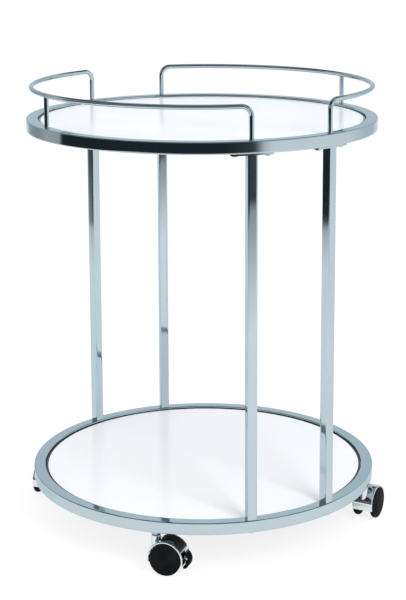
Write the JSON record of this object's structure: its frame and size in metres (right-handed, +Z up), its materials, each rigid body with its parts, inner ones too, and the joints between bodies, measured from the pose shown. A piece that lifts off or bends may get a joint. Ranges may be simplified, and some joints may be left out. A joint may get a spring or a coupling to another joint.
{
  "type": "serving cart",
  "caption": "Round two-tier serving cart with chrome tube rings, recessed white shelves, square legs in close pairs, bent-rod gallery rails and twin-wheel swivel casters.",
  "frame": {"origin": "on the floor under the centre of the round shelves", "axes": "+Z up; +X through the middle of one pair of legs; -Y towards the open front"},
  "size_m": [0.45, 0.45, 0.5695],
  "materials": {
    "chrome": "bright chrome plate",
    "white_panel": "gloss white lacquer",
    "black_plastic": "moulded",
    "plain_steel": "zinc plated"
  },
  "bodies": {
    "frame": {"upper_ring": "chrome", "lower_ring": "chrome", "upper_shelf": "white_panel", "lower_shelf": "white_panel", "upper_shelf_tabs": "chrome", "lower_shelf_tabs": "chrome", "upper_shelf_screws": "plain_steel", "lower_shelf_screws": "plain_steel", "leg_right_front": "chrome", "leg_right_rear": "chrome", "leg_left_rear": "chrome", "leg_left_front": "chrome", "leg_flange_right_front": "chrome", "leg_flange_right_rear": "chrome", "leg_flange_left_rear": "chrome", "leg_flange_left_front": "chrome", "flange_screws": "chrome", "leg_inserts": "plain_steel", "leg_bolts": "chrome", "gallery_rail_front": "chrome", "gallery_rail_rear": "chrome", "gallery_post_front": "chrome", "gallery_post_rear": "chrome", "caster_nuts": "plain_steel", "caster_stem_right_front": "plain_steel", "caster_stem_right_rear": "plain_steel", "caster_stem_left_rear": "plain_steel", "caster_stem_left_front": "plain_steel"},
    "caster_right_front": {"caster_hood_right_front": "chrome", "caster_axle_right_front": "plain_steel", "brake_pin_right_front": "plain_steel"},
    "wheel_right_front_outer": {"wheel_right_front_outer": "black_plastic"},
    "wheel_right_front_inner": {"wheel_right_front_inner": "black_plastic"},
    "brake_right_front": {"brake_lever_right_front": "black_plastic"},
    "caster_right_rear": {"caster_hood_right_rear": "chrome", "caster_axle_right_rear": "plain_steel"},
    "wheel_right_rear_outer": {"wheel_right_rear_outer": "black_plastic"},
    "wheel_right_rear_inner": {"wheel_right_rear_inner": "black_plastic"},
    "caster_left_rear": {"caster_hood_left_rear": "chrome", "caster_axle_left_rear": "plain_steel", "brake_pin_left_rear": "plain_steel"},
    "wheel_left_rear_outer": {"wheel_left_rear_outer": "black_plastic"},
    "wheel_left_rear_inner": {"wheel_left_rear_inner": "black_plastic"},
    "brake_left_rear": {"brake_lever_left_rear": "black_plastic"},
    "caster_left_front": {"caster_hood_left_front": "chrome", "caster_axle_left_front": "plain_steel"},
    "wheel_left_front_outer": {"wheel_left_front_outer": "black_plastic"},
    "wheel_left_front_inner": {"wheel_left_front_inner": "black_plastic"}
  },
  "joints": [
    {"name": "swivel_right_front", "type": "hinge", "parent": "frame", "child": "caster_right_front", "pos_m": [0.1538, -0.1538, 0.0448], "axis": [0, 0, 1], "continuous": true},
    {"name": "spin_right_front_outer", "type": "hinge", "parent": "caster_right_front", "child": "wheel_right_front_outer", "pos_m": [0.1714, -0.15042, 0.02], "axis": [-0.6561, 0.7547, 0], "continuous": true},
    {"name": "spin_right_front_inner", "type": "hinge", "parent": "caster_right_front", "child": "wheel_right_front_inner", "pos_m": [0.15959, -0.13683, 0.02], "axis": [-0.6561, 0.7547, 0], "continuous": true},
    {"name": "brake_right_front", "type": "hinge", "parent": "caster_right_front", "child": "brake_right_front", "pos_m": [0.18466, -0.12696, 0.022], "axis": [-0.6561, 0.7547, 0], "range_deg": [0, 10]},
    {"name": "swivel_right_rear", "type": "hinge", "parent": "frame", "child": "caster_right_rear", "pos_m": [0.1538, 0.1538, 0.0448], "axis": [0, 0, 1], "continuous": true},
    {"name": "spin_right_rear_outer", "type": "hinge", "parent": "caster_right_rear", "child": "wheel_right_rear_outer", "pos_m": [0.15321, 0.17171, 0.02], "axis": [-0.848, -0.5299, 0], "continuous": true},
    {"name": "spin_right_rear_inner", "type": "hinge", "parent": "caster_right_rear", "child": "wheel_right_rear_inner", "pos_m": [0.13795, 0.16217, 0.02], "axis": [-0.848, -0.5299, 0], "continuous": true},
    {"name": "swivel_left_rear", "type": "hinge", "parent": "frame", "child": "caster_left_rear", "pos_m": [-0.1538, 0.1538, 0.0448], "axis": [0, 0, 1], "continuous": true},
    {"name": "spin_left_rear_outer", "type": "hinge", "parent": "caster_left_rear", "child": "wheel_left_rear_outer", "pos_m": [-0.17144, 0.15695, 0.02], "axis": [0.342, -0.9397, 0], "continuous": true},
    {"name": "spin_left_rear_inner", "type": "hinge", "parent": "caster_left_rear", "child": "wheel_left_rear_inner", "pos_m": [-0.16528, 0.14004, 0.02], "axis": [0.342, -0.9397, 0], "continuous": true},
    {"name": "brake_left_rear", "type": "hinge", "parent": "caster_left_rear", "child": "brake_left_rear", "pos_m": [-0.19223, 0.13981, 0.022], "axis": [0.342, -0.9397, 0], "range_deg": [0, 10]},
    {"name": "swivel_left_front", "type": "hinge", "parent": "frame", "child": "caster_left_front", "pos_m": [-0.1538, -0.1538, 0.0448], "axis": [0, 0, 1], "continuous": true},
    {"name": "spin_left_front_outer", "type": "hinge", "parent": "caster_left_front", "child": "wheel_left_front_outer", "pos_m": [-0.1489, -0.17104, 0.02], "axis": [0.6947, 0.7193, 0], "continuous": true},
    {"name": "spin_left_front_inner", "type": "hinge", "parent": "caster_left_front", "child": "wheel_left_front_inner", "pos_m": [-0.13639, -0.15809, 0.02], "axis": [0.6947, 0.7193, 0], "continuous": true}
  ]
}
